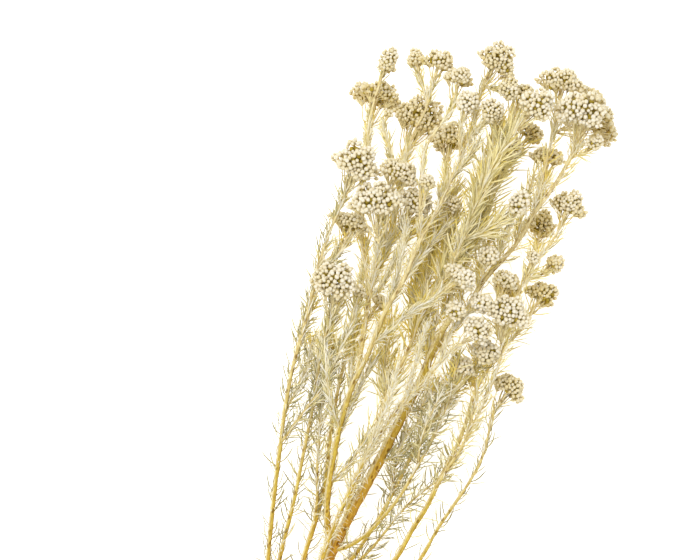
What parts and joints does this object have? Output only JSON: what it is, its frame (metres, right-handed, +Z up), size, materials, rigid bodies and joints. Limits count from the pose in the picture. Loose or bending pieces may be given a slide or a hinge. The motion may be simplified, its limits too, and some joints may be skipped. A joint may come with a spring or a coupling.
{
  "type": "dried rice flower stalk",
  "caption": "Dried forking woody stalk with fine needle leaves and domed heads of small round cream buds, cut at the foot and lying flat.",
  "frame": {"origin": "on the surface that the stalk lies on, under the middle of its box", "axes": "+Y along the stalk from the cut end to the heads, +Z up from the surface"},
  "size_m": [0.1641, 0.5025, 0.0969],
  "materials": {
    "wood": "orange-brown dry bark, finely grooved, with dark leaf scars",
    "gold_stem": "golden dry twig bark, with straw-coloured dry needle leaves",
    "straw_stem": "pale straw twig bark, with bleached dry needle leaves",
    "buds": "matt papery cream bracts, brown-gold in the gaps between the buds"
  },
  "bodies": {
    "root": {"main_stem": "wood", "left_branch": "gold_stem", "inner_left_branch": "gold_stem", "long_branch": "gold_stem", "middle_branch": "straw_stem", "front_branch": "straw_stem", "golden_branch": "gold_stem", "lower_branch": "straw_stem", "right_branch": "gold_stem", "far_right_branch": "gold_stem", "upper_right_branch": "straw_stem", "flower_head_01": "buds", "flower_head_02": "buds", "flower_head_03": "buds", "flower_head_04": "buds", "flower_head_05": "buds", "flower_head_06": "buds", "flower_head_07": "buds", "flower_head_08": "buds", "flower_head_09": "buds", "flower_head_10": "buds", "flower_head_11": "buds", "flower_head_12": "buds", "flower_head_13": "buds", "flower_head_14": "buds", "flower_head_15": "buds", "flower_head_16": "buds", "flower_head_17": "buds", "flower_head_18": "buds", "flower_head_19": "buds", "flower_head_20": "buds", "flower_head_21": "buds", "flower_head_22": "buds", "flower_head_23": "buds", "flower_head_24": "buds", "flower_head_25": "buds", "flower_head_26": "buds", "flower_head_27": "buds", "flower_head_28": "buds", "flower_head_29": "buds", "flower_head_30": "buds", "flower_head_31": "buds", "flower_head_32": "buds", "flower_head_33": "buds", "flower_head_34": "buds", "flower_head_35": "buds", "flower_head_36": "buds", "flower_head_37": "buds", "flower_head_38": "buds", "flower_head_39": "buds", "flower_head_40": "buds", "flower_head_41": "buds", "flower_head_42": "buds", "flower_head_43": "buds", "flower_head_44": "buds", "flower_head_45": "buds", "flower_head_46": "buds", "flower_head_47": "buds", "flower_head_48": "buds"}
  },
  "joints": []
}
